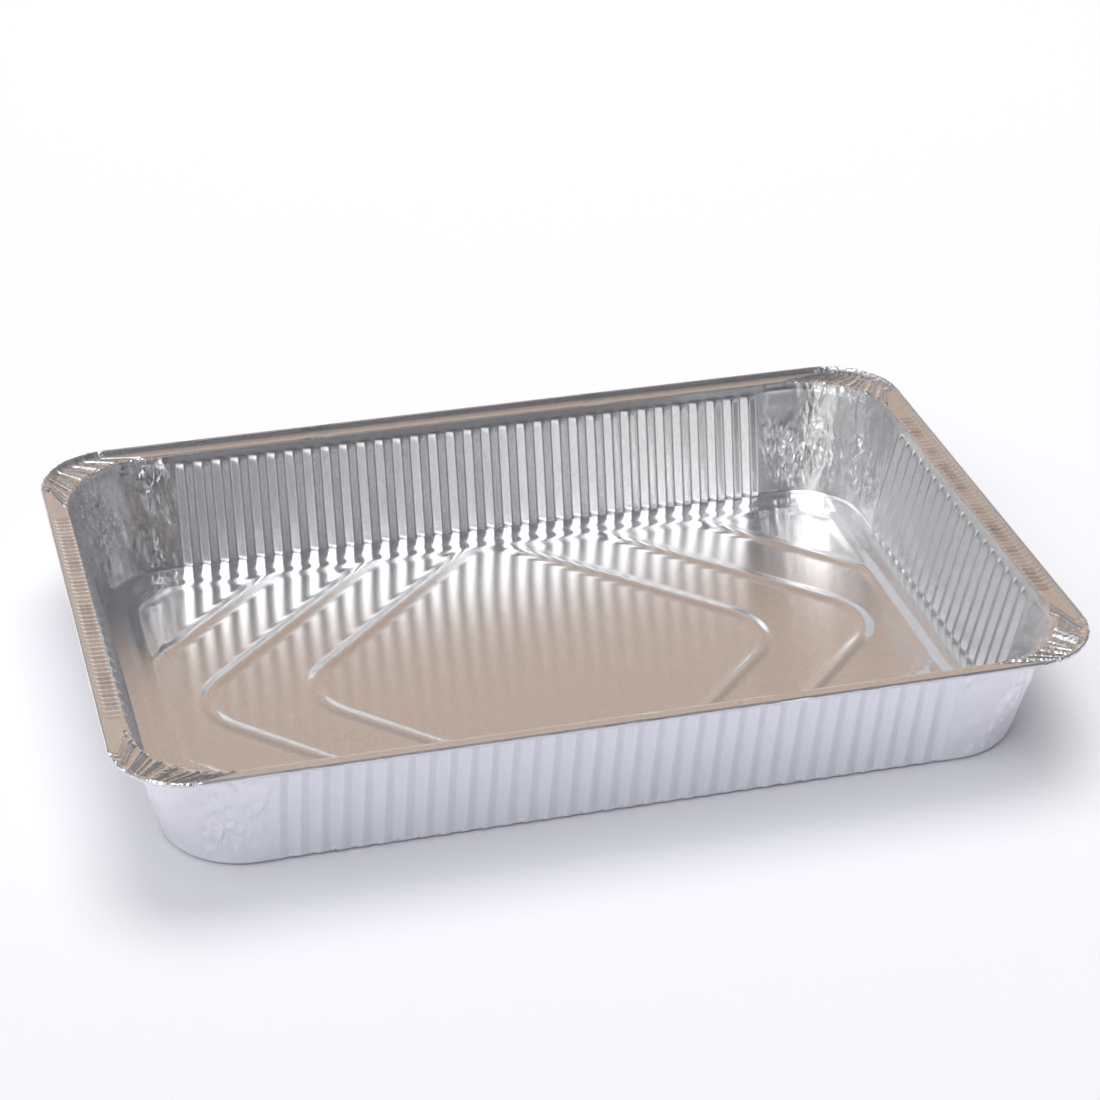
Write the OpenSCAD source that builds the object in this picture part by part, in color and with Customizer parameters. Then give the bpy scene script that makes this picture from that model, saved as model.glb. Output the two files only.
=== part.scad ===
// Foil roasting pan, pressed in one piece from a single sheet of aluminium foil.
// Millimetres. X runs along the long sides, Y along the short sides and Z up.
// The origin is on the table, under the middle of the pan.

/* [Rim] */
// Overall length, over the rolled edge
rim_l = 315; // [270:1:400]
// Overall width, over the rolled edge
rim_w = 215; // [185:1:300]
// Overall height, from the table to the top of the rolled edge
overall_h = 43.7; // [30:0.1:80]
// Corner radius of the rolled edge, seen from above
rim_r = 25; // [20:0.5:34]
// Corner radius of the mouth, where the walls meet the flange
mouth_r = 31; // [24:0.5:38]
// Width of the rim along the long sides, from the mouth to the outer edge
rim_long = 6.9; // [5.5:0.1:12]
// Width of the rim along the short sides
rim_short = 7.8; // [5.5:0.1:12]
// Bend between a wall and the flange
mouth_bend = 0.5; // [0.2:0.05:1]
// Radius of the rolled edge
roll_r = 0.75; // [0.5:0.05:1.2]
// Height of the rolled edge above the flange
roll_h = 1.7; // [1.4:0.05:2.2]
// Width of the slope that rises from the flange to the rolled edge
slope_w = 1.9; // [1:0.1:3]
// Height of that slope
slope_h = 0.69; // [0.3:0.01:1]
// Pleats gathered in the flange at each corner
pleats = 7; // [3:1:9]
// Depth of these pleats
pleat_d = 0.5; // [0:0.05:0.8]

/* [Walls] */
// Distance that a wall leans out between its foot and the mouth
wall_lean = 9; // [4:0.1:16]
// Corner radius at the foot of the walls
foot_r = 26; // [20:0.5:34]
// Distance from one flute to the next
flute_pitch = 6.575; // [5:0.025:10]
// Distance that a flute stands in from the plain wall
flute_d = 1.3; // [0.5:0.1:2.2]
// Part of the pitch taken by each sloping side of a flute
flute_side = 0.34; // [0.2:0.01:0.48]
// Plain band between the tops of the flutes and the flange
plain_band = 3.2; // [2:0.1:8]
// Height over which a flute runs out, at its top and at its foot
flute_fade = 2.2; // [1:0.1:6]
// Least plain wall between the last flute and the bend of the corner
flute_margin = 5.5; // [4:0.5:20]

/* [Base] */
// Width of the flat ledge along the foot of the walls
ledge_w = 4; // [2:0.1:7]
// Height of that ledge above the panels
ledge_h = 0.45; // [0:0.05:2]
// Width of each slope of the border, which falls to a valley, rises to a crest and falls again
border_w = 3.8; // [2.5:0.1:5]
// Height of the border's valley above the panels
valley_h = 0.05; // [0:0.05:1]
// Height of the border's crest above the panels
crest_h = 0.6; // [0.2:0.05:1.5]
// Height of the ridges above the panels
ridge_h = 0.9; // [0.4:0.05:2]
// Width of each flank of a ridge
ridge_w = 3.6; // [2:0.1:5]
// Distance from the middle of the base to the point of the first lozenge, before its bend
lozenge = 87; // [80:0.5:95]
// Distance from one lozenge to the next, along the long side
lozenge_pitch = 36.5; // [30:0.5:45]
// Bend radius of a ridge at the point of its lozenge
bend_r = 21; // [12:0.5:26]

/* [Foil] */
// Thickness of the foil
foil_t = 0.1; // [0.06:0.01:0.3]

/* [Hidden] */

// Segments in a quarter turn of a corner, two for each pleat
corner_steps = 2 * pleats;
// Directions round the section of the rolled edge: it leaves the slope at roll_from, passes its
// top and its outermost line, and ends under the roll at roll_to
roll_from = 180 + asin((roll_h - roll_r - slope_h) / roll_r);
roll_to = -125;
roll_turns = concat([for (i = [0:2]) roll_from + (90 - roll_from) * i / 3], [90, 45],
                    [for (i = [0:3]) roll_to * i / 3]);
// Nearest that two rows of points of the base may come
row_gap = 0.6;

floor_z = foil_t;
ledge_z = floor_z + ledge_h;
flange_z = overall_h - roll_h;
mouth_z = flange_z - mouth_bend;
mouth_hl = rim_l / 2 - rim_short;
mouth_hw = rim_w / 2 - rim_long;
foot_hl = mouth_hl - wall_lean;
foot_hw = mouth_hw - wall_lean;
border = ledge_w + 3 * border_w;
panel_hl = foot_hl - border;
panel_hw = foot_hw - border;
panel_r = max(foot_r - border, 2);
bend_hl = panel_hl - panel_r;
bend_hw = panel_hw - panel_r;

// Places on the outline of the pan.
// A place is [side, on the corner, distance or angle, flute depth, pleat]. Side 0 is the front and
// the others follow it anticlockwise, each with the corner at its end.
function outward(q) = [sin(90 * q), -cos(90 * q)];
function half_across(q, hl, hw) = q % 2 == 0 ? hw : hl;
function half_along(q, hl, hw) = q % 2 == 0 ? hl : hw;

// Point and outward direction of a place, on a rounded rectangle
function spot(s, hl, hw, r) =
    let (n = outward(s[0]), t = [-n[1], n[0]],
         across = half_across(s[0], hl, hw), along = half_along(s[0], hl, hw))
    s[1] == 0 ? concat(n * across + t * s[2], n) :
    let (d = n * cos(s[2]) + t * sin(s[2]))
    concat(n * (across - r) + t * (along - r) + d * r, d);

// How far round the outline a place is, from 0 to 8
function turn(s) =
    2 * s[0] + (s[1] == 1 ? 1 + s[2] / 90 : 0.5 + s[2] / (2 * half_along(s[0], bend_hl, bend_hw)));

// A flute has two sloping sides and a narrow flat top, and stands in from the wall
flute_points = [[0.25 - flute_side / 2, 0], [0.25 + flute_side / 2, 1],
                [0.75 - flute_side / 2, 1], [0.75 + flute_side / 2, 0]];
function flute_count(q) =
    floor(2 * (half_along(q, foot_hl, foot_hw) - foot_r - flute_margin) / flute_pitch);
function fluted_side(q) =
    let (n = flute_count(q))
    [for (i = [0:n - 1], f = flute_points) [q, 0, (i + f[0] - n / 2) * flute_pitch, f[1], 0]];
function corner(q) =
    [for (i = [0:corner_steps]) [q, 1, 90 * i / corner_steps, 0, i % 2]];
wall_places = [for (q = [0:3]) each concat(fluted_side(q), corner(q))];
plain_places = [for (s = wall_places) if (s[3] == 0) s];
rim_places = [for (q = [0:3]) each corner(q)];

// Ridges of the base: nested lozenges with rounded points, each a foot, a crest and a foot
corner_reach = bend_hl + bend_hw + panel_r * sqrt(2);
ridge_count = floor((corner_reach - 2 * ridge_w * sqrt(2) - lozenge) / lozenge_pitch) + 1;
ridges = [for (k = [0:ridge_count - 1]) lozenge + k * lozenge_pitch];
ridge_lines = [for (c = ridges, j = [-1:1])
    [c + j * ridge_w * sqrt(2), bend_r + j * ridge_w, j == 0 ? ridge_h : 0]];

// Half the length of a lozenge at distance y from its middle, for a point at c and a bend of radius r
function set_back(y, r) = abs(y) < r / sqrt(2) ? r * sqrt(2) - sqrt(r * r - y * y) : abs(y);
function line_x(l, y) = l[0] - set_back(y, l[1]);
function edge_x(y) =
    abs(y) <= bend_hw ? panel_hl : bend_hl + sqrt(max(panel_r * panel_r - pow(abs(y) - bend_hw, 2), 0));

// Height of the base above its panels, at a point
function off_ridge(x, y, c) =
    let (u = x - c + bend_r * sqrt(2))
    u > abs(y) ? abs(norm([u, y]) - bend_r) : abs(x + abs(y) - c) / sqrt(2);
function relief(x, y) =
    ridge_h * max([0, for (c = ridges) 1 - off_ridge(abs(x), y, c) / ridge_w]);

// Rows of the base, from the front to the back
function sorted(v) = len(v) < 2 ? v :
    let (p = v[0])
    concat(sorted([for (a = v) if (a < p) a]), [for (a = v) if (a == p) a],
           sorted([for (a = v) if (a > p) a]));
function spaced(v, i = 0, kept = []) = i == len(v) ? kept :
    spaced(v, i + 1, len(kept) == 0 || v[i] - kept[len(kept) - 1] >= row_gap ? concat(kept, [v[i]]) : kept);
row_marks = concat(
    [for (i = [0:4]) bend_r * sin(45 * i / 4)],
    [for (l = ridge_lines) l[0] - panel_hl],
    [for (i = [0:2]) bend_hw + panel_r * sin(30 * i)]);
half_rows = spaced(sorted([for (y = row_marks) if (y >= 0 && y < panel_hw - row_gap) y]));
row_ys = concat([-panel_hw], [for (i = [len(half_rows) - 1:-1:1]) -half_rows[i]], half_rows, [panel_hw]);

// A row of the base holds [x, distance across the ridges, height], from left to right
function half_row(y) =
    let (e = edge_x(y))
    concat([for (l = ridge_lines) let (x = line_x(l, y))
                if (x > row_gap && x < e - row_gap) [x, l[0], l[2]]],
           [[e, e + set_back(y, bend_r), relief(e, y)]]);
function base_row(y) =
    let (h = half_row(y), n = len(h))
    concat([for (i = [n - 1:-1:0]) [-h[i][0], -h[i][1], h[i][2]]], h);
base_rows = [for (y = row_ys) base_row(y)];
last_row = len(base_rows) - 1;
row_starts = [for (i = 0, s = 0; i <= last_row; s = s + len(base_rows[i]), i = i + 1) s];
base_size = row_starts[last_row] + len(base_rows[last_row]);
function row_indices(j) = [for (i = [0:len(base_rows[j]) - 1]) row_starts[j] + i];
function row_keys(j) = [for (p = base_rows[j]) p[1]];

// Outline of the base: the front row, the right ends, the back row and the left ends
function right_end(y) = abs(y) <= bend_hw ? [1, 0, y, 0, 0] :
    y < 0 ? [0, 1, acos((-y - bend_hw) / panel_r), 0, 0] : [1, 1, asin((y - bend_hw) / panel_r), 0, 0];
function left_end(y) = let (s = right_end(-y)) [s[0] + 2, s[1], s[2], 0, 0];
base_indices = concat(
    row_indices(0),
    [for (j = [1:last_row - 1]) row_starts[j] + len(base_rows[j]) - 1],
    [for (i = [len(base_rows[last_row]) - 1:-1:0]) row_starts[last_row] + i],
    [for (j = [last_row - 1:-1:1]) row_starts[j]]);
base_places = concat(
    [for (p = base_rows[0]) [0, 0, p[0], 0, 0]],
    [for (j = [1:last_row - 1]) right_end(row_ys[j])],
    [for (i = [len(base_rows[last_row]) - 1:-1:0]) [2, 0, -base_rows[last_row][i][0], 0, 0]],
    [for (j = [last_row - 1:-1:1]) left_end(row_ys[j])]);

// Rings from the base outwards. A ring is [half length, half width, corner radius, height, places,
// distance its flutes stand in, pleat depth].
function border_ring(d, z) = [panel_hl + d, panel_hw + d, panel_r + d, z, base_places, 0, 0];
function wall_ring(z, places) =
    let (u = (z - ledge_z) / (mouth_z - ledge_z))
    [foot_hl + wall_lean * u, foot_hw + wall_lean * u, foot_r + (mouth_r - foot_r) * u,
     z, places, flute_d, 0];
// A ring of the rim at distance e from its outer edge
function edge_ring(e, z, pleat) = [rim_l / 2 - e, rim_w / 2 - e, rim_r - e, z, rim_places, 0, pleat];
function roll_inset(a) = roll_r - roll_r * cos(a);
flute_top = flange_z - plain_band;
rings = concat(
    [border_ring(border_w, floor_z + crest_h),
     border_ring(2 * border_w, floor_z + valley_h),
     border_ring(3 * border_w, ledge_z),
     wall_ring(ledge_z, plain_places),
     wall_ring(ledge_z + flute_fade, wall_places),
     wall_ring(flute_top - flute_fade, wall_places),
     wall_ring(flute_top, plain_places),
     [mouth_hl, mouth_hw, mouth_r, mouth_z, rim_places, 0, 0],
     [mouth_hl + mouth_bend, mouth_hw + mouth_bend, mouth_r, flange_z, rim_places, 0, pleat_d],
     edge_ring(roll_inset(roll_from) + slope_w, flange_z, pleat_d)],
    [for (a = roll_turns) edge_ring(roll_inset(a), overall_h - roll_r + roll_r * sin(a), 0)]);

// Offset from the inner skin to the outer one, square to the section on both sides of a ring
function section(g) = [(g[0] + g[1]) / 2, g[3]];
function square_to(a, b) = let (d = b - a) [d[1], -d[0]] / norm(d);
function skin_offset(i) =
    let (s = section(rings[i]),
         before = i == 0 ? [(panel_hl + panel_hw) / 2, floor_z] : section(rings[i - 1]),
         m = square_to(before, s),
         n = i == len(rings) - 1 ? m : square_to(s, section(rings[i + 1])))
    (m + n) * foil_t / (1 + m * n);

function ring_points(g, shift) = [for (s = g[4])
    let (p = spot(s, g[0], g[1], g[2]), e = shift[0] - g[5] * s[3])
    [p[0] + p[2] * e, p[1] + p[3] * e, g[3] - g[6] * s[4] + shift[1]]];
function base_points(drop) =
    [for (j = [0:last_row], p = base_rows[j]) [p[0], row_ys[j], floor_z + p[2] - drop]];
inner_skin = concat(base_points(0), [for (g = rings) each ring_points(g, [0, 0])]);
outer_skin = concat(base_points(foil_t),
                    [for (i = [0:len(rings) - 1]) each ring_points(rings[i], skin_offset(i))]);
skin_size = len(inner_skin);
ring_starts = [for (i = 0, s = base_size; i < len(rings); s = s + len(rings[i][4]), i = i + 1) s];
function ring_indices(i) = [for (k = [0:len(rings[i][4]) - 1]) ring_starts[i] + k];
function ring_keys(i) = [for (s = rings[i][4]) turn(s)];

// Knits two rows of points with triangles, stepping along whichever row lies behind
function stride(i, j, ka, kb) =
    i == len(ka) - 1 ? [0, 1] :
    j == len(kb) - 1 ? [1, 0] :
    ka[i + 1] < kb[j + 1] - 0.0001 ? [1, 0] :
    kb[j + 1] < ka[i + 1] - 0.0001 ? [0, 1] : [1, 1];
function knit(a, b, ka, kb) = [
    for (i = 0, j = 0, s = stride(0, 0, ka, kb);
         i < len(a) - 1 || j < len(b) - 1;
         i = i + s[0], j = j + s[1], s = stride(i, j, ka, kb))
    each concat(s[0] == 1 ? [[a[i], a[i + 1], b[j + s[1]]]] : [],
                s[1] == 1 ? [[a[i], b[j + 1], b[j]]] : [])];
function closed(v) = concat(v, [v[0]]);
function closed_keys(v) = concat(v, [v[0] + 8]);
function knit_rings(a, b, ka, kb) = knit(closed(a), closed(b), closed_keys(ka), closed_keys(kb));

function flipped(f) = [f[2], f[1], f[0]];
function row_faces(j) = knit(row_indices(j), row_indices(j + 1), row_keys(j), row_keys(j + 1));
function ring_faces(i) = knit_rings(ring_indices(i), ring_indices(i + 1), ring_keys(i), ring_keys(i + 1));
inner_faces = concat(
    [for (j = [0:last_row - 1], f = row_faces(j)) flipped(f)],
    knit_rings(base_indices, ring_indices(0), [for (s = base_places) turn(s)], ring_keys(0)),
    [for (i = [0:len(rings) - 2]) each ring_faces(i)]);
outer_faces = [for (f = inner_faces) [for (k = flipped(f)) k + skin_size]];
cut_edge = closed(ring_indices(len(rings) - 1));
edge_faces = [for (i = [0:len(cut_edge) - 2])
    [cut_edge[i], cut_edge[i + 1], cut_edge[i + 1] + skin_size, cut_edge[i] + skin_size]];

// The whole pan: one sheet with two skins, joined at the cut edge inside the roll
module pan() {
    color([0.78, 0.78, 0.8])
        polyhedron(concat(inner_skin, outer_skin),
                   concat(inner_faces, outer_faces, edge_faces), convexity = 10);
}

pan();
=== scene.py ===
import math

import bpy
import numpy as np
from mathutils import Matrix, Vector
from mathutils.geometry import delaunay_2d_cdt


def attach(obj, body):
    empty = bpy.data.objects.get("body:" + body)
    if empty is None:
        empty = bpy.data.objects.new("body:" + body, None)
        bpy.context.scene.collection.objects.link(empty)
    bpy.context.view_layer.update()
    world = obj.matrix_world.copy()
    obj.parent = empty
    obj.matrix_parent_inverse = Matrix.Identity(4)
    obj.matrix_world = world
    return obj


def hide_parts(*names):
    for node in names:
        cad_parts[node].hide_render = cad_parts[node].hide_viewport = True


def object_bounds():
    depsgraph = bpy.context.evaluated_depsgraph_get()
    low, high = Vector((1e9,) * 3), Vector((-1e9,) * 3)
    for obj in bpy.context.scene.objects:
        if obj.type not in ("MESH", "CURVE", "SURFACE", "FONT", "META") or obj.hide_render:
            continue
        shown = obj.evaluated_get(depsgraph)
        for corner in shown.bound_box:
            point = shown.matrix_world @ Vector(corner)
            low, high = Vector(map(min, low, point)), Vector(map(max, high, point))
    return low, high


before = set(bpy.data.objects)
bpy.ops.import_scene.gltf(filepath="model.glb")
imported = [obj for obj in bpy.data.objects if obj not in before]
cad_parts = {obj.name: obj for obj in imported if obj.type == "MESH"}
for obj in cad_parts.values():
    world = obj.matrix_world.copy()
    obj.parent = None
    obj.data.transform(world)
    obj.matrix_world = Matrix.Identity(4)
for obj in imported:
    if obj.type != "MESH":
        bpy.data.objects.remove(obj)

cad_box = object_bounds()
mm = 0.001

# The camera
# A long lens looks down into the pan from the left of its front side, as in the photograph. Its
# place was fitted to the pan's own outlines: the rim, the mouth, the foot and the flutes.
view_azimuth = math.radians(13.95)
view_elevation = math.radians(30.45)
view_roll = math.radians(-0.23)
view_target = Vector((-5.4, 61.6, 0)) * mm
view_distance = 1060.4 * mm
toward_camera = Vector((-math.sin(view_azimuth) * math.cos(view_elevation),
                        -math.cos(view_azimuth) * math.cos(view_elevation),
                        math.sin(view_elevation)))
camera = bpy.data.objects.new("camera", bpy.data.cameras.new("camera"))
bpy.context.collection.objects.link(camera)
camera.data.sensor_width = 36
camera.data.lens = 97.0
camera.data.shift_x = 0.061
camera.data.shift_y = 0.022
camera.data.clip_start = 0.01
camera.data.clip_end = 20
facing = toward_camera.to_track_quat("Z", "Y").to_matrix().to_4x4() @ Matrix.Rotation(view_roll, 4, "Z")
camera.matrix_world = Matrix.Translation(view_target + toward_camera * view_distance) @ facing
bpy.context.scene.camera = camera

# The table
# A wide matt table top, nearly white and very slightly blue, which the pan stands on. It reaches
# so far on every side that its edges stay out of the picture.
table_colour = (0.83, 0.83, 0.86, 1)
table_half = 4.0
table_gap = 0.2 * mm


def material(name):
    made = bpy.data.materials.new(name)
    made.use_nodes = True
    made.node_tree.nodes.clear()
    return made, made.node_tree.nodes, made.node_tree.links


def add(nodes, kind, **sockets):
    """A new node, with the values of its sockets. A socket's name has _ for each space."""
    node = nodes.new(kind)
    for key, value in sockets.items():
        node.inputs[key.replace("_", " ")].default_value = value
    return node


table_mat, nodes, links = material("pale_table")
matt = add(nodes, "ShaderNodeBsdfDiffuse", Color=table_colour)
output = add(nodes, "ShaderNodeOutputMaterial")
links.new(matt.outputs[0], output.inputs["Surface"])
table_corners = [(x * table_half, y * table_half, -table_gap)
                 for x, y in ((-1, -1), (1, -1), (1, 1), (-1, 1))]
table_mesh = bpy.data.meshes.new("table")
table_mesh.from_pydata(table_corners, [], [(0, 1, 2, 3)])
table_mesh.materials.append(table_mat)
table = bpy.data.objects.new("table", table_mesh)
bpy.context.collection.objects.link(table)

# The room round the table
# The foil mirrors a dim room with a pale far edge to the table. Soft round patches on it are the
# ceiling, a window at the left, a light box at the front left, a warm wall behind and darker places.
room_colour = (0.20, 0.205, 0.22, 1)
horizon_colour = (0.62, 0.61, 0.60, 1)
horizon_full, horizon_gone = 0.06, 0.20
edge_colour = (0.95, 0.94, 0.93, 1)
# Each patch: what it is, the azimuth of its middle from +Y toward +X, the elevation of its middle,
# the angles from there at which it starts to fade and has faded out, and its colour
patches = (
    ("pale ceiling", -160, 84, 14, 30, (0.52, 0.525, 0.54, 1)),
    ("window at the left", -86, 34, 12, 20, (1.2, 1.22, 1.26, 1)),
    ("window high at the left", -88, 60, 10, 20, (0.62, 0.63, 0.66, 1)),
    ("dark ceiling behind", 30, 68, 16, 28, (0.10, 0.105, 0.12, 1)),
    ("dark wall at the right", 105, 22, 24, 42, (0.20, 0.205, 0.22, 1)),
    ("dark beyond the camera", 168, 12, 18, 32, (0.07, 0.075, 0.09, 1)),
    ("warm wall, higher up", 14, 46, 12, 21, (0.27, 0.215, 0.18, 1)),
    ("warm wall behind", 10, 30, 24, 33, (0.58, 0.455, 0.38, 1)),
    ("light box's left flank", -122, 38, 8, 18, (0.7, 0.7, 0.7, 1)),
    ("light box", -138, 57, 20, 26, (2.8, 2.8, 2.8, 1)),
    ("light box, lower down", -142, 33, 6, 14, (2.2, 2.2, 2.2, 1)),
    ("table's far edge, left", -28, 3, 9, 15, edge_colour),
    ("table's far edge, middle", 10, 3, 9, 15, edge_colour),
    ("table's far edge, right", 48, 3, 9, 15, edge_colour),
)


def fade(nodes, links, value, gone, full):
    """A smooth step up from 0, where the value is gone, to 1, where it is full."""
    ramp = add(nodes, "ShaderNodeMapRange", From_Min=gone, From_Max=full)
    ramp.interpolation_type = "SMOOTHSTEP"
    links.new(value, ramp.inputs["Value"])
    return ramp.outputs["Result"]


def blend(nodes, links, factor, first, second):
    """A colour between two others. Each of the two is a colour or another node's output."""
    mix = nodes.new("ShaderNodeMix")
    mix.data_type = "RGBA"
    links.new(factor, mix.inputs["Factor"])
    for socket, colour in ((mix.inputs[6], first), (mix.inputs[7], second)):
        if isinstance(colour, tuple):
            socket.default_value = colour
        else:
            links.new(colour, socket)
    return mix.outputs[2]


world = bpy.data.worlds.new("room")
bpy.context.scene.world = world
world.use_nodes = True
nodes, links = world.node_tree.nodes, world.node_tree.links
nodes.clear()
direction = nodes.new("ShaderNodeTexCoord").outputs["Generated"]
height = nodes.new("ShaderNodeSeparateXYZ")
links.new(direction, height.inputs[0])
low_down = fade(nodes, links, height.outputs["Z"], horizon_gone, horizon_full)
light = blend(nodes, links, low_down, room_colour, horizon_colour)
for what, azimuth, elevation, full, gone, colour in patches:
    az, el = math.radians(azimuth), math.radians(elevation)
    near = nodes.new("ShaderNodeVectorMath")
    near.label = what
    near.operation = "DOT_PRODUCT"
    near.inputs[1].default_value = (math.sin(az) * math.cos(el), math.cos(az) * math.cos(el), math.sin(el))
    links.new(direction, near.inputs[0])
    gone_at, full_at = math.cos(math.radians(gone)), math.cos(math.radians(full))
    inside = fade(nodes, links, near.outputs["Value"], gone_at, full_at)
    light = blend(nodes, links, inside, light, colour)
background = add(nodes, "ShaderNodeBackground", Strength=1.0)
links.new(light, background.inputs["Color"])
output = add(nodes, "ShaderNodeOutputWorld")
links.new(background.outputs[0], output.inputs["Surface"])

# The lamp over the table
# A wide round lamp high up behind the pan, aimed at it. It lights the table alone and casts the
# pan's soft shadow toward the camera. The foil doesn't mirror it.
lamp = bpy.data.objects.new("table_lamp", bpy.data.lights.new("table_lamp", "AREA"))
lamp.data.shape = "DISK"
lamp.data.size = 2.2
lamp.data.energy = 50
lamp.location = (0.2, 0.8, 2.8)
lamp.rotation_euler = Vector(lamp.location).to_track_quat("Z", "Y").to_euler()
lamp.visible_glossy = False
lamp.visible_camera = False
bpy.context.collection.objects.link(lamp)

# The foil pan
# One sheet of aluminium foil, pressed in one stroke: the base with its stepped border and crossing
# ridges, the fluted walls, the flat flange, and an edge rolled into a small bead. The metal gathers
# into creases round the four corners, where it has to shrink. Sizes are in millimetres.
foil = 0.1
rim_l, rim_w, overall_h = (round((high - low) / mm, 3) for low, high in zip(*cad_box))
rim_long, rim_short = 6.9, 7.8
bead_h = 1.7
mouth_r = 31.0
mouth_bend = 0.5
wall_lean = 9.0
foot_r = 26.0

flange_z = overall_h - bead_h
mouth_z = flange_z - mouth_bend
mouth_hl, mouth_hw = rim_l / 2 - rim_short, rim_w / 2 - rim_long
foot_hl, foot_hw = mouth_hl - wall_lean, mouth_hw - wall_lean
half_straight = [half - foot_r for half in (foot_hl, foot_hw, foot_hl, foot_hw)]


# Places round the pan. Sides are numbered 0 to 3 from the front, toward the right. A place is its
# side, 1 if it is on the corner after that side, its distance from the side's middle or else its
# angle round the corner, and a value of its own.
def plain_side(side, spacing):
    count = int(2 * half_straight[side] / spacing)
    return [[side, 0, half_straight[side] * (2 * k / count - 1), -1] for k in range(1, count)]


def corner(side, segments):
    return [[side, 1, 90 * k / segments, -1] for k in range(segments + 1)]


def outward(side):
    return np.array([math.sin(side * math.pi / 2), -math.cos(side * math.pi / 2)]).round()


def spot(places, half_l, half_w, radius):
    """Points on a rounded rectangle, one for each place, and the outward directions there."""
    side = places[:, 0].astype(int)
    out = np.array([outward(k) for k in range(4)])[side]
    along = np.stack([-out[:, 1], out[:, 0]], 1)
    half_across = np.where(side % 2 == 0, half_w, half_l)[:, None]
    half_along = np.where(side % 2 == 0, half_l, half_w)[:, None]
    radius = np.broadcast_to(radius, side.shape)[:, None]
    on_side = places[:, 1:2] == 0
    where = places[:, 2:3]
    angle = np.radians(np.where(on_side, 0, where))
    outward_here = np.where(on_side, out, out * np.cos(angle) + along * np.sin(angle))
    centre = out * (half_across - radius) + along * (half_along - radius)
    point = np.where(on_side, out * half_across + along * where, centre + outward_here * radius)
    return point, outward_here


def turn_of(places):
    """How far round the pan each place is. A side counts 1 and so does a corner, so a turn is 8."""
    side, on_side = places[:, 0], places[:, 1] == 0
    half = np.where(side % 2 == 0, foot_hl, foot_hw) - foot_r
    return 2 * side + np.where(on_side, 0.5 + places[:, 2] / (2 * half), 1 + places[:, 2] / 90)


# The base: a ledge at the foot of the walls, then a border of three slopes, each ending at a bend
floor_z = foil
ledge_w, ledge_h = 4.0, 0.45
border_w, valley_h, crest_h = 3.8, 0.05, 0.6
crest_at = ledge_w + 2 * border_w
border = ledge_w + 3 * border_w
steps_at = (0, ledge_w, ledge_w + border_w, crest_at, border)
steps_h = (ledge_h, ledge_h, valley_h, crest_h, 0.0)
step_soft = 0.7
# The ridges run in lozenges, one round another. The first reaches lozenge_l from the middle along
# the X axis, and each further one reaches lozenge_pitch more. Their tips are rounded off.
ridge_h, ridge_w = 0.9, 3.6
lozenge_l, lozenge_pitch, tip_r = 87.0, 36.5, 21.0
ridge_lines = np.arange(lozenge_l, foot_hl + foot_hw, lozenge_pitch)
# A rounded crest lowers a ridge, and this factor makes up for it
ridge_full = 1.1
crest_soft, ridge_foot_soft, ridge_into_border = 0.012, 0.01, 0.3
ridge_start, ridge_whole = crest_at - 1, crest_at + 0.5
highest = ridge_h + 0.04
diagonal = math.sqrt(2)
# The base isn't quite flat. It is this much higher, more in some places than in others
unevenness = 0.05
base_waves = {"count": 5, "shortest": 30, "longest": 80, "seed": 3}


def soft_step(low, high, x):
    t = np.clip((x - low) / (high - low), 0, 1)
    return t * t * (3 - 2 * t)


def smooth_max(a, b, softness):
    near = np.maximum(softness - np.abs(a - b), 0) / softness
    return np.maximum(a, b) + near * near * softness / 4


def waves(x, y, count, shortest, longest, seed):
    """Slow random waves over a plane, between about -1 and 1."""
    draw = np.random.default_rng(seed)
    total = np.zeros_like(x)
    for _ in range(count):
        length = draw.uniform(shortest, longest)
        angle = draw.uniform(0, math.pi)
        phase = draw.uniform(0, 6.3)
        total += np.sin((x * math.cos(angle) + y * math.sin(angle)) * 2 * math.pi / length + phase)
    return total / math.sqrt(count)


def inset(x, y):
    """Distance in from the foot of the walls."""
    u, v = np.abs(x) - (foot_hl - foot_r), np.abs(y) - (foot_hw - foot_r)
    outside = np.hypot(np.maximum(u, 0), np.maximum(v, 0)) + np.minimum(np.maximum(u, v), 0)
    return foot_r - outside


def border_height(d):
    """The stepped border at a distance in from the walls, averaged a little each way at its bends."""
    return sum(np.interp(d + step_soft * k / 3, steps_at, steps_h) for k in range(-3, 4)) / 7


def ridge_height(x, y):
    """Each ridge has two straight flanks, a rounded crest and a softened foot."""
    ax, ay = np.abs(x), np.abs(y)
    off = np.full_like(ax, 99.0)
    for tip in ridge_lines:
        past_tip = ax - tip + tip_r * diagonal
        off_tip = np.abs(np.hypot(past_tip, ay) - tip_r)
        off_line = np.abs(ax + ay - tip) / diagonal
        off = np.minimum(off, np.where(past_tip > ay, off_tip, off_line))
    t = 1 - np.sqrt((off / ridge_w) ** 2 + crest_soft)
    return ridge_h * ridge_full * (t + np.sqrt(t * t + ridge_foot_soft)) / 2


def base_height(x, y):
    """Height of the base's upper side. The ridges run into the crest of the border."""
    d = inset(x, y)
    border_z = border_height(d)
    ridge_z = ridge_height(x, y) * soft_step(ridge_start, ridge_whole, d)
    panel_z = np.minimum(smooth_max(border_z, ridge_z, ridge_into_border), highest)
    uneven = unevenness * (1 + 0.5 * waves(x, y, **base_waves))
    return floor_z + np.where(d > crest_at, panel_z, border_z) + uneven


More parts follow.
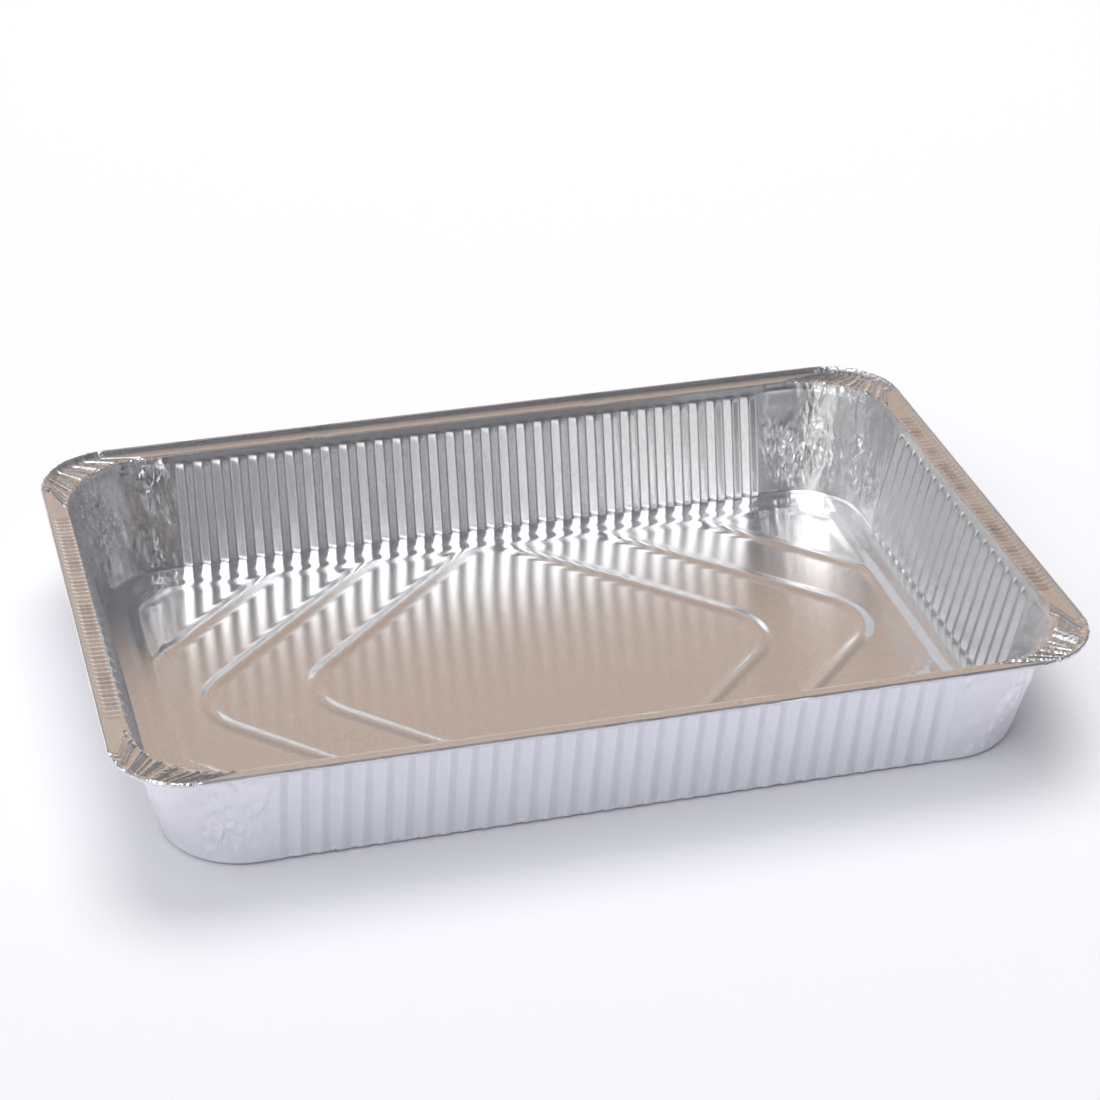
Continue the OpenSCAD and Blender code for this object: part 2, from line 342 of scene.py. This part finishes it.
# The base inside the border is made in rows of points along X. A row's points stand on columns,
# which run along the ridges and round their tips, so that every crest and foot is drawn sharply.
grid_in = border + 4.0
grid_hl, grid_hw, grid_r = foot_hl - grid_in, foot_hw - grid_in, foot_r - grid_in
row_count = 76
across_ridge = (-1.4, -1.12, -0.9, -0.66, -0.42, -0.2, 0, 0.2, 0.42, 0.66, 0.9, 1.12, 1.4)
first_column, column_spacing, edge_gap = 6.0, 4.5, 0.8
outer_columns = 12
columns = []
reached = first_column
for tip in ridge_lines:
    on_ridge = [(tip + share * ridge_w * diagonal, tip_r + share * ridge_w) for share in across_ridge]
    gap = on_ridge[0][0] - reached
    count = max(int(gap / column_spacing), 1)
    columns += [(reached + gap * k / count, tip_r) for k in range(count)] + on_ridge
    reached = on_ridge[-1][0] + column_spacing
columns += [(reached + column_spacing * k, tip_r) for k in range(outer_columns)]


def set_back(y, radius):
    """How far a column has come back toward the middle, at a distance from the X axis."""
    round_tip = radius * diagonal - np.sqrt(np.maximum(radius * radius - y * y, 0))
    return float(np.where(np.abs(y) < radius / diagonal, round_tip, np.abs(y)))


def edge_x(y):
    past_straight = max(abs(y) - (grid_hw - grid_r), 0)
    return grid_hl - grid_r + math.sqrt(max(grid_r ** 2 - past_straight ** 2, 0))


points, rows, row_keys = [], [], []
for y in np.linspace(-grid_hw, grid_hw, row_count):
    edge = edge_x(y)
    half = [(c - set_back(y, radius), c) for c, radius in columns]
    half = [(x, c) for x, c in half if edge_gap < x < edge - edge_gap]
    half.append((edge, edge + set_back(y, tip_r)))
    line = [(-x, -c) for x, c in reversed(half)] + half
    rows.append(range(len(points), len(points) + len(line)))
    row_keys.append([c for _, c in line])
    points += [(x, y, float(base_height(np.array(x), np.array(y)))) for x, _ in line]


keys_agree = 1e-4


def stride(i, j, keys_a, keys_b):
    """Which of two rows steps on next, or both where their keys agree."""
    if i == len(keys_a) - 1:
        return 0, 1
    if j == len(keys_b) - 1:
        return 1, 0
    ahead = keys_a[i + 1] - keys_b[j + 1]
    if abs(ahead) <= keys_agree:
        return 1, 1
    return (1, 0) if ahead < 0 else (0, 1)


def knit(a, keys_a, b, keys_b):
    """Faces between two rows of points, stepping along whichever row lies behind."""
    made, i, j = [], 0, 0
    while i < len(a) - 1 or j < len(b) - 1:
        step_a, step_b = stride(i, j, keys_a, keys_b)
        if step_a and step_b:
            made.append((a[i], a[i + 1], b[j + 1], b[j]))
        elif step_a:
            made.append((a[i], a[i + 1], b[j]))
        else:
            made.append((a[i], b[j + 1], b[j]))
        i, j = i + step_a, j + step_b
    return made


def flipped(faces):
    return [tuple(reversed(face)) for face in faces]


faces = []
for j in range(row_count - 1):
    faces += flipped(knit(rows[j], row_keys[j], rows[j + 1], row_keys[j + 1]))


# Rings of points follow from the edge of the rows outward, to the end of the rolled edge
def loop_turn(x, y):
    """How far round the pan a point on the edge of the rows is, on the scale of turn_of."""
    bx, by = grid_hl - grid_r, grid_hw - grid_r
    if abs(x) <= bx + 1e-6 and abs(y) > by:
        return 0.5 + x / (2 * bx) if y < 0 else 4.5 - x / (2 * bx)
    if abs(y) <= by + 1e-6:
        return 2.5 + y / (2 * by) if x > 0 else 6.5 - y / (2 * by)
    share = math.degrees(math.atan2(abs(y) - by, abs(x) - bx)) / 90
    if x > 0:
        return 3 + share if y > 0 else 2 - share
    return 6 - share if y > 0 else 7 + share


def closed_knit(a, keys_a, b, keys_b):
    """Faces between two rings."""
    return knit([*a, a[0]], [*keys_a, keys_a[0] + 8], [*b, b[0]], [*keys_b, keys_b[0] + 8])


def add_ring(xyz, keys):
    """A ring of points outside the last ring, knit to it."""
    ring = range(len(points), len(points) + len(xyz))
    points.extend(map(tuple, xyz))
    faces.extend(closed_knit(*rings[-1], ring, keys))
    rings.append((ring, keys))


edge_loop = ([*rows[0]] + [row[-1] for row in rows[1:-1]]
             + [*reversed(rows[-1])] + [row[0] for row in reversed(rows[1:-1])])
rings = [(edge_loop, [loop_turn(*points[k][:2]) for k in edge_loop])]

# The border's rings, given by their distance in from the foot of the walls
border_spacing, border_corner_segments = 2.6, 16
border_rings = (17.6, 16.3, 15.4, 14.6, 13.7, 12.9, 12.3, 11.8, 11.3, 10.6,
                9.8, 8.9, 8.3, 7.8, 7.3, 6.6, 5.8, 5.0, 4.3)
border_places = np.array([place for side in range(4) for place in
                          plain_side(side, border_spacing) + corner(side, border_corner_segments)], float)
border_keys = turn_of(border_places)
for d in border_rings:
    p, _ = spot(border_places, foot_hl - d, foot_hw - d, foot_r - d)
    add_ring(np.column_stack([p, base_height(p[:, 0], p[:, 1])]), border_keys)

# The walls lean out. Flutes stand in from them side by side, each with a narrow flat top and two
# sloping flanks. A place among the flutes holds its phase, from 0 to 1 over one pitch with the top
# at 0.5, and any other place holds -1. flute_side is a flank's share of the pitch.
flute_pitch, flute_depth = 6.575, 1.3
flute_side = 0.34
flute_margin = 5.5
flute_phases = (0, 0.09, 0.41, 0.5, 0.59, 0.91)
plain_band, flute_fade, flute_end_power = 3.2, 2.2, 0.6
corner_segments, plain_segments = 78, 10
flute_counts = [int(2 * (half - flute_margin) // flute_pitch) for half in half_straight]
half_fluted = [count / 2 * flute_pitch for count in flute_counts]


def fluted_side(side):
    count = flute_counts[side]
    at = [(i - count / 2 + phase, phase) for i in range(count) for phase in flute_phases]
    return [[side, 0, along * flute_pitch, phase] for along, phase in at[1:]]


def round_corner(side):
    """The plain wall after one side's flutes, the corner, and the plain wall before the next flutes."""
    following = (side + 1) % 4
    after = half_straight[side] - half_fluted[side]
    before = half_straight[following] - half_fluted[following]
    return ([[side, 0, half_straight[side] - after * (1 - k / plain_segments), -1]
             for k in range(plain_segments)]
            + corner(side, corner_segments)
            + [[following, 0, -half_straight[following] + before * k / plain_segments, -1]
               for k in range(1, plain_segments + 1)])


wall_places, fluted = [], []
for side in range(4):
    for stretch, on_flutes in ((fluted_side(side), True), (round_corner(side), False)):
        wall_places += stretch
        fluted += [on_flutes] * len(stretch)
wall_places = np.array(wall_places, float)
wall_keys = turn_of(wall_places)

ledge_z = floor_z + ledge_h
foot_round = 0.9
for d in (3.4, foot_round):
    p, _ = spot(wall_places, foot_hl - d, foot_hw - d, foot_r - d)
    add_ring(np.column_stack([p, np.full(len(p), ledge_z)]), wall_keys)

# Each place of the wall is a column of points: few on the flutes, many where the corners are crumpled
flute_top = flange_z - plain_band
foot_zs = [ledge_z + foot_round * (1 - math.cos(math.radians(a))) for a in (40, 90)] + [2.2, 2.9]
flute_zs = np.array(foot_zs + [12, 21, 30, 35.2, 36.6, 37.6, 38.2, 38.6, 39.2, 40.3, mouth_z])
corner_levels = 36
corner_zs = np.array(foot_zs + list(np.linspace(foot_zs[-1], mouth_z, corner_levels)[1:]))
column_zs = [flute_zs if on_flutes else corner_zs for on_flutes in fluted]
z = np.concatenate(column_zs)
place = wall_places[np.concatenate([np.full(len(zs), k) for k, zs in enumerate(column_zs)])]

# How far round its corner each point is, in mm. The corner's crumple runs on a little over the
# plain wall at either end. Other points have no number here.
run_on = 6.5
mm_per_degree = 0.5
corner_mm = 90 * mm_per_degree
corner_no, corner_at = place[:, 0].astype(int), np.full(len(place), np.nan)
past = np.array([half_straight[side] for side in corner_no]) - np.abs(place[:, 2])
on_corner, near_end = place[:, 1] == 1, (place[:, 1] == 0) & (past < run_on)
corner_at[on_corner] = place[on_corner, 2] * mm_per_degree
after, before = near_end & (place[:, 2] > 0), near_end & (place[:, 2] < 0)
corner_at[after] = -past[after]
corner_at[before] = corner_mm + past[before]
corner_no[before] = (corner_no[before] - 1) % 4


def crumpled(at, up, across, tall, slant, seed):
    """Crumpled foil: long flat facets between random points, meeting at sharp folds, about -1 to 1.

    The points stray from a grid with cells this far across and this tall, and the facets lean."""
    beyond, top, middle = run_on + 25, 42, 20
    stray, same_point = 0.45, 1e-5
    draw = np.random.default_rng(seed)
    ats, ups = np.meshgrid(np.arange(-beyond, corner_mm + beyond, across),
                           np.arange(-tall, top + 2 * tall, tall))
    ats = ats + draw.uniform(-stray, stray, ats.shape) * across
    ups = ups + draw.uniform(-stray, stray, ups.shape) * tall
    squash = across / tall
    flat = [Vector(p) for p in np.column_stack([ats.ravel(), ups.ravel() * squash])]
    joined, _, triangles, origins, _, _ = delaunay_2d_cdt(flat, [], [], 0, same_point)
    high = draw.uniform(-1, 1, len(flat))
    high = np.array([high[origin[0]] if origin else 0.0 for origin in origins])
    joined = np.array([(p.x, p.y) for p in joined])
    x, y = at - slant * (up - middle), up * squash
    found = np.zeros_like(at)
    for a, b, c in triangles:
        (ax, ay), (bx, by), (cx, cy) = joined[a], joined[b], joined[c]
        area = (bx - ax) * (cy - ay) - (cx - ax) * (by - ay)
        v = ((x - ax) * (cy - ay) - (cx - ax) * (y - ay)) / area
        w = ((bx - ax) * (y - ay) - (x - ax) * (by - ay)) / area
        within = (v >= -1e-6) & (w >= -1e-6) & (v + w <= 1 + 1e-6)
        found[within] = (high[a] * (1 - v - w) + high[b] * v + high[c] * w)[within]
    return found


# Three scales of crumple, each crumple_h high and leaning one way or the other. The finer two come
# and go in slow waves round the corner. A crease runs round it crease_down under the flange.
crumple_h = 0.5
broad, middling, fine = (8.0, 15.0), (3.2, 6.5), (1.6, 2.8)
broad_seed, middling_seed, fine_seed, busy_seed = 40, 50, 60, 70
crumple_lean = (0.22, -0.22, 0.22, -0.22)
busy_waves = {"count": 6, "shortest": 14, "longest": 34}
busy_mean, busy_swing, calmest, busiest = 0.62, 0.55, 0.12, 1.15
crumple_foot = 5
crease_down, crease_depth, crease_w = 2.9, 0.35, 0.5

up_wall = (z - ledge_z) / (mouth_z - ledge_z)
sunk = np.maximum(1 - (z - ledge_z) / foot_round, 0)
foot_bend = foot_round * (1 - np.sqrt(1 - sunk ** 2))
phase = place[:, 3]
across_flute = np.clip((0.25 + flute_side / 2 - np.abs(phase - 0.5)) / flute_side, 0, 1)
flute = np.where(phase >= 0, across_flute, 0)
flute_ends = np.clip(np.minimum(flute_top - z, z - ledge_z) / flute_fade, 0, 1) ** flute_end_power
push = -flute_depth * np.minimum(flute, flute_ends) - foot_bend
wall_crinkle = np.zeros(len(place))
for side in range(4):
    here = (corner_no == side) & ~np.isnan(corner_at)
    at, up = corner_at[here], z[here]
    reach = (soft_step(-run_on, -1, at) * soft_step(-run_on, -1, corner_mm - at)
             * soft_step(0, crumple_foot, up - ledge_z))
    busy_wave = waves(at, up * 0.6, **busy_waves, seed=busy_seed + side)
    busy = np.clip(busy_mean + busy_swing * busy_wave, calmest, busiest)
    lean = crumple_lean[side]
    big_folds = crumpled(at, up, *broad, lean, broad_seed + side)
    small_folds = (crumpled(at, up, *middling, lean, middling_seed + side)
                   + crumpled(at, up, *fine, -lean, fine_seed + side))
    push[here] += reach * crumple_h * (big_folds + busy * small_folds)
    push[here] -= reach * crease_depth * np.exp(-((flange_z - crease_down - up) / crease_w) ** 2)
    wall_crinkle[here] = reach * busy
p, out = spot(place, foot_hl + wall_lean * up_wall, foot_hw + wall_lean * up_wall,
              foot_r + (mouth_r - foot_r) * up_wall)
wall_start = len(points)
points.extend(map(tuple, np.column_stack([p + out * push[:, None], z])))
column_ends = np.cumsum([len(zs) for zs in column_zs]) + wall_start
wall_columns = [range(int(end) - len(zs), int(end)) for end, zs in zip(column_ends, column_zs)]
faces.extend(closed_knit(*rings[-1], [column[0] for column in wall_columns], wall_keys))

# How crisp the folds round each face look: 0 is smooth, and 1 is a flat facet
fold_crisp = 0.6
crisp = [0.0] * len(faces)
for k, column in enumerate(wall_columns):
    following = (k + 1) % len(wall_columns)
    made = flipped(knit(column, column_zs[k], wall_columns[following], column_zs[following]))
    faces += made
    crisp += [0.0 if fluted[k] or fluted[following] else fold_crisp] * len(made)
rings.append(([column[-1] for column in wall_columns], wall_keys))

# The rim is folded across: tightly and evenly along the short sides, faintly along the long sides
# and deeply round the corners. A place on the rim holds the height of its fold.
rim_r = 25.0
bead_r = 0.75
bead_end = -125.0
slope_w, slope_h = 1.9, 0.69
# Folds: the shortest and longest distance between two, in mm or in degrees round a corner, the
# greatest height of a fold, and the least height as a share of that
long_side_folds = (2.2, 9.0, 0.09, 0.45)
short_side_folds = (1.15, 1.5, 0.36, 0.8)
corner_folds = (0.8, 3.6, 0.55, 0.45)
side_fold_seed, corner_fold_seed = 20, 30
fold_down, fold_up = -1.0, 0.3


def folds(length, shortest, longest, depth, least, seed):
    """Where the rim is folded along a length of it, and how high or low each fold lies."""
    draw = np.random.default_rng(seed)
    at = np.cumsum(shortest + (longest - shortest) * draw.random(int(length / shortest)) ** 2)
    at = at[at < length - shortest]
    way = np.where(np.arange(len(at)) % 2, fold_down, fold_up)
    return at, depth * draw.uniform(least, 1.0, len(at)) * way


rim_places = []
for side in range(4):
    kind = (long_side_folds, short_side_folds)[side % 2]
    at, lift = folds(2 * half_straight[side], *kind, side_fold_seed + side)
    swell = 1 + 0.15 * np.sin(at * 0.16 + side) + 0.12 * np.sin(at * 0.43 + 2 * side)
    rim_places += [[side, 0, a - half_straight[side], h] for a, h in zip(at, lift * swell)]
    at, lift = folds(90, *corner_folds, corner_fold_seed + side)
    rim_places += [[side, 1, 0, 0]] + [[side, 1, a, h] for a, h in zip(at, lift)] + [[side, 1, 90, 0]]
rim_places = np.array(rim_places, float)
rim_keys = turn_of(rim_places)
fold = rim_places[:, 3]
corner_angle = np.where(rim_places[:, 1] == 1, rim_places[:, 2], -1)
in_corner = soft_step(-2, 6, corner_angle) * soft_step(-2, 6, 90 - corner_angle) * (corner_angle >= 0)
# The corners are creased all over, and the long sides in a few short stretches
crease_draw = np.random.default_rng(77)
mouth_jitter, bead_jitter = 0.17, 0.16
on_long_side, round_rim = rim_places[:, 0] % 2 == 0, rim_places[:, 2] + 200 * rim_places[:, 0]
stretches = np.sin(round_rim * 0.21) * np.sin(round_rim * 0.083 + 1) > 0.75
creased = np.maximum(in_corner, 0.8 * (on_long_side & stretches))


def rim_ring(half_l, half_w, radius, z, lift, push=0.0, jitter=0.0):
    """A ring of the rim, lifted and pushed out at its folds, and knocked about where it is creased."""
    p, out = spot(rim_places, half_l, half_w, radius)
    push, lift = (by + jitter * creased * crease_draw.uniform(-1, 1, len(p)) for by in (push, lift))
    add_ring(np.column_stack([p + out * push[:, None], z + lift]), rim_keys)


def edge_ring(inward, z, lift, push=0.0, jitter=0.0):
    """A ring of the rim at a distance in from its outer edge."""
    rim_ring(rim_l / 2 - inward, rim_w / 2 - inward, rim_r - inward, z, lift, push, jitter)


# The rings run over the bend at the mouth, across the flat flange, up the slope and round the bead.
# The folds are deepest over the bend and on the flange, and die out up the slope into dents.
bend_w = 1.3
bead_gap = 0.1
for angle in (12, 35, 62, 90):
    a = math.radians(angle)
    over = bend_w * (1 - math.cos(a))
    rim_ring(mouth_hl + over, mouth_hw + over, mouth_r, flange_z - mouth_bend * (1 - math.sin(a)),
             fold * angle / 90, -0.6 * fold * in_corner * (1 - angle / 120), mouth_jitter)
slope_start = 2 * bead_r + slope_w - bead_gap
flat_start = np.array([mouth_hl + bend_w, mouth_hw + bend_w, mouth_r])
flat_end = np.array([rim_l / 2 - slope_start, rim_w / 2 - slope_start, rim_r - slope_start])
for share in (0.5, 1.0):
    rim_ring(*(flat_start + (flat_end - flat_start) * share), flange_z, fold * (1 - 0.15 * share))
for share in (0.12, 0.5, 1.0):
    rise = slope_h * (0.6 * share + 0.4 * share * share)
    edge_ring(slope_start - slope_w * share, flange_z + rise, fold * (0.7 - 0.5 * share))
dent = np.abs(fold) * (0.1 + 0.45 * in_corner)
for angle in (180, 140, 110, 80, 45, 0, -55, bead_end):
    a = math.radians(angle)
    edge_ring(bead_r - bead_r * math.cos(a), overall_h - bead_r + bead_r * math.sin(a),
              -0.9 * dent, -dent * (1 if angle < 100 else 0.3), bead_jitter)
crisp += [fold_crisp] * (len(faces) - len(crisp))

# The sheet has two skins, one foil thickness apart: the upper one that the rings made, and a lower
# one. A narrow strip closes them along the cut edge inside the bead.
faces = flipped(faces)
upper = np.array(points)
halves = [[f] if len(f) == 3 else [f[:3], (f[0], f[2], f[3])] for f in faces]
triangles = np.array([half for face in halves for half in face])
tips = upper[triangles]
weights = np.cross(tips[:, 1] - tips[:, 0], tips[:, 2] - tips[:, 0])
weights *= np.linalg.norm(weights, axis=1)[:, None]
normals = np.zeros_like(upper)
for k in range(3):
    np.add.at(normals, triangles[:, k], weights)
normals /= np.linalg.norm(normals, axis=1)[:, None]
skins = np.vstack([upper, upper - normals * foil])
skins = np.clip(skins, np.array(cad_box[0]) / mm, np.array(cad_box[1]) / mm)
below = len(upper)
last_ring = rings[-1][0]
cut = [*last_ring, last_ring[0]]
strip = [(a + below, b + below, b, a) for a, b in zip(cut, cut[1:])]
all_faces = faces + [tuple(k + below for k in reversed(f)) for f in faces] + strip
mesh = bpy.data.meshes.new("foil_pan")
mesh.from_pydata((skins * mm).tolist(), [], all_faces)
mesh.shade_smooth()

# The normals at each face's corners are drawn toward the face's own normal where its folds are crisp
face_normals = np.zeros(len(mesh.polygons) * 3)
mesh.polygons.foreach_get("normal", face_normals)
corner_counts = np.array([len(f) for f in all_faces])
smooth = np.vstack([normals, -normals])[np.concatenate(all_faces)]
sharp = face_normals.reshape(-1, 3).repeat(corner_counts, axis=0)
amount = np.concatenate([crisp, crisp, np.ones(len(strip))]).repeat(corner_counts)[:, None]
corner_normals = smooth * (1 - amount) + sharp * amount
corner_normals /= np.linalg.norm(corner_normals, axis=1)[:, None]
mesh.normals_split_custom_set(corner_normals.tolist())

# How much each point is finely crinkled, which the foil's materials read
rim_start = wall_start + len(wall_crinkle)
rim_rings = (below - rim_start) // len(rim_places)
crinkle = np.concatenate([np.zeros(wall_start), wall_crinkle, np.tile(0.5 * in_corner, rim_rings)])
mesh.attributes.new("crinkle", "FLOAT", "POINT").data.foreach_set("value", np.tile(crinkle, 2))

# Rolled foil is bright on one side, the inside here, and duller on the other. Rolling lines stretch
# every highlight, across the base and up the walls. The walls are drawn out of the sheet and lose
# some of its shine.
roll_direction = {"X": 0.0, "Y": 0.15, "Z": 1.0}
wall_below, flat_above = 0.35, 0.8
crinkle_scale, crinkle_squeeze, crinkle_depth = 500.0, (1.0, 1.0, 0.42), 0.4 * mm
grain_scale, grain_darker, grain_lighter = 1250.0, 1.3, 0.7
# Each side: its name, how far it stretches highlights, its grain, its roughness lying flat and in
# the walls, and its colour. The dull side's colour is the foil's own grey with a blue tint added, a
# painted reflection of the bluish table and room that the outside faces.
foil_sides = (("bright_side", 0.95, 0.115, 0.20, 0.26, (0.92, 0.92, 0.93)),
              ("dull_side", 0.6, 0.03, 0.44, 0.44, (0.90, 0.90, 0.96)))


def foil_side(name, stretch, grain_depth, flat_rough, wall_rough, colour):
    foil_mat, nodes, links = material(name)
    shader = add(nodes, "ShaderNodeBsdfPrincipled", Metallic=1.0, Anisotropic=stretch,
                 Base_Color=(*colour, 1))
    across_roll = add(nodes, "ShaderNodeCombineXYZ", **roll_direction)
    links.new(across_roll.outputs[0], shader.inputs["Tangent"])

    facing = nodes.new("ShaderNodeSeparateXYZ")
    links.new(nodes.new("ShaderNodeNewGeometry").outputs["True Normal"], facing.inputs[0])
    up_or_down = nodes.new("ShaderNodeMath")
    up_or_down.operation = "ABSOLUTE"
    links.new(facing.outputs["Z"], up_or_down.inputs[0])
    roughness = add(nodes, "ShaderNodeMapRange", From_Min=wall_below, From_Max=flat_above,
                    To_Min=wall_rough, To_Max=flat_rough)
    links.new(up_or_down.outputs[0], roughness.inputs["Value"])
    links.new(roughness.outputs["Result"], shader.inputs["Roughness"])

    # The finest crinkles, which stand upright in the walls
    on_pan = nodes.new("ShaderNodeTexCoord").outputs["Object"]
    squeeze = add(nodes, "ShaderNodeMapping", Scale=crinkle_squeeze)
    links.new(on_pan, squeeze.inputs["Vector"])
    facets = add(nodes, "ShaderNodeTexVoronoi", Scale=crinkle_scale)
    facets.feature = "DISTANCE_TO_EDGE"
    links.new(squeeze.outputs[0], facets.inputs["Vector"])
    how_much = nodes.new("ShaderNodeAttribute")
    how_much.attribute_name = "crinkle"
    height = nodes.new("ShaderNodeMath")
    height.operation = "MULTIPLY"
    links.new(facets.outputs["Distance"], height.inputs[0])
    links.new(how_much.outputs["Fac"], height.inputs[1])
    bump = add(nodes, "ShaderNodeBump", Strength=1.0, Distance=crinkle_depth)
    links.new(height.outputs[0], bump.inputs["Height"])
    links.new(bump.outputs[0], shader.inputs["Normal"])

    # The grain of the foil
    grain = add(nodes, "ShaderNodeTexNoise", Scale=grain_scale, Detail=2.0)
    links.new(on_pan, grain.inputs["Vector"])
    darker = tuple((1 - grain_darker * grain_depth) * c for c in colour) + (1,)
    lighter = tuple((1 + grain_lighter * grain_depth) * c for c in colour) + (1,)
    links.new(blend(nodes, links, grain.outputs["Fac"], darker, lighter), shader.inputs["Base Color"])
    output = add(nodes, "ShaderNodeOutputMaterial")
    links.new(shader.outputs[0], output.inputs["Surface"])
    return foil_mat


for foil_look in foil_sides:
    mesh.materials.append(foil_side(*foil_look))
bright_then_dull = np.repeat([0, 1], [len(faces), len(faces) + len(strip)])
mesh.polygons.foreach_set("material_index", bright_then_dull)
pan = bpy.data.objects.new("foil_pan", mesh)
bpy.context.collection.objects.link(pan)
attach(pan, "root")
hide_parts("pan")

bpy.context.scene.view_settings.view_transform = "Standard"
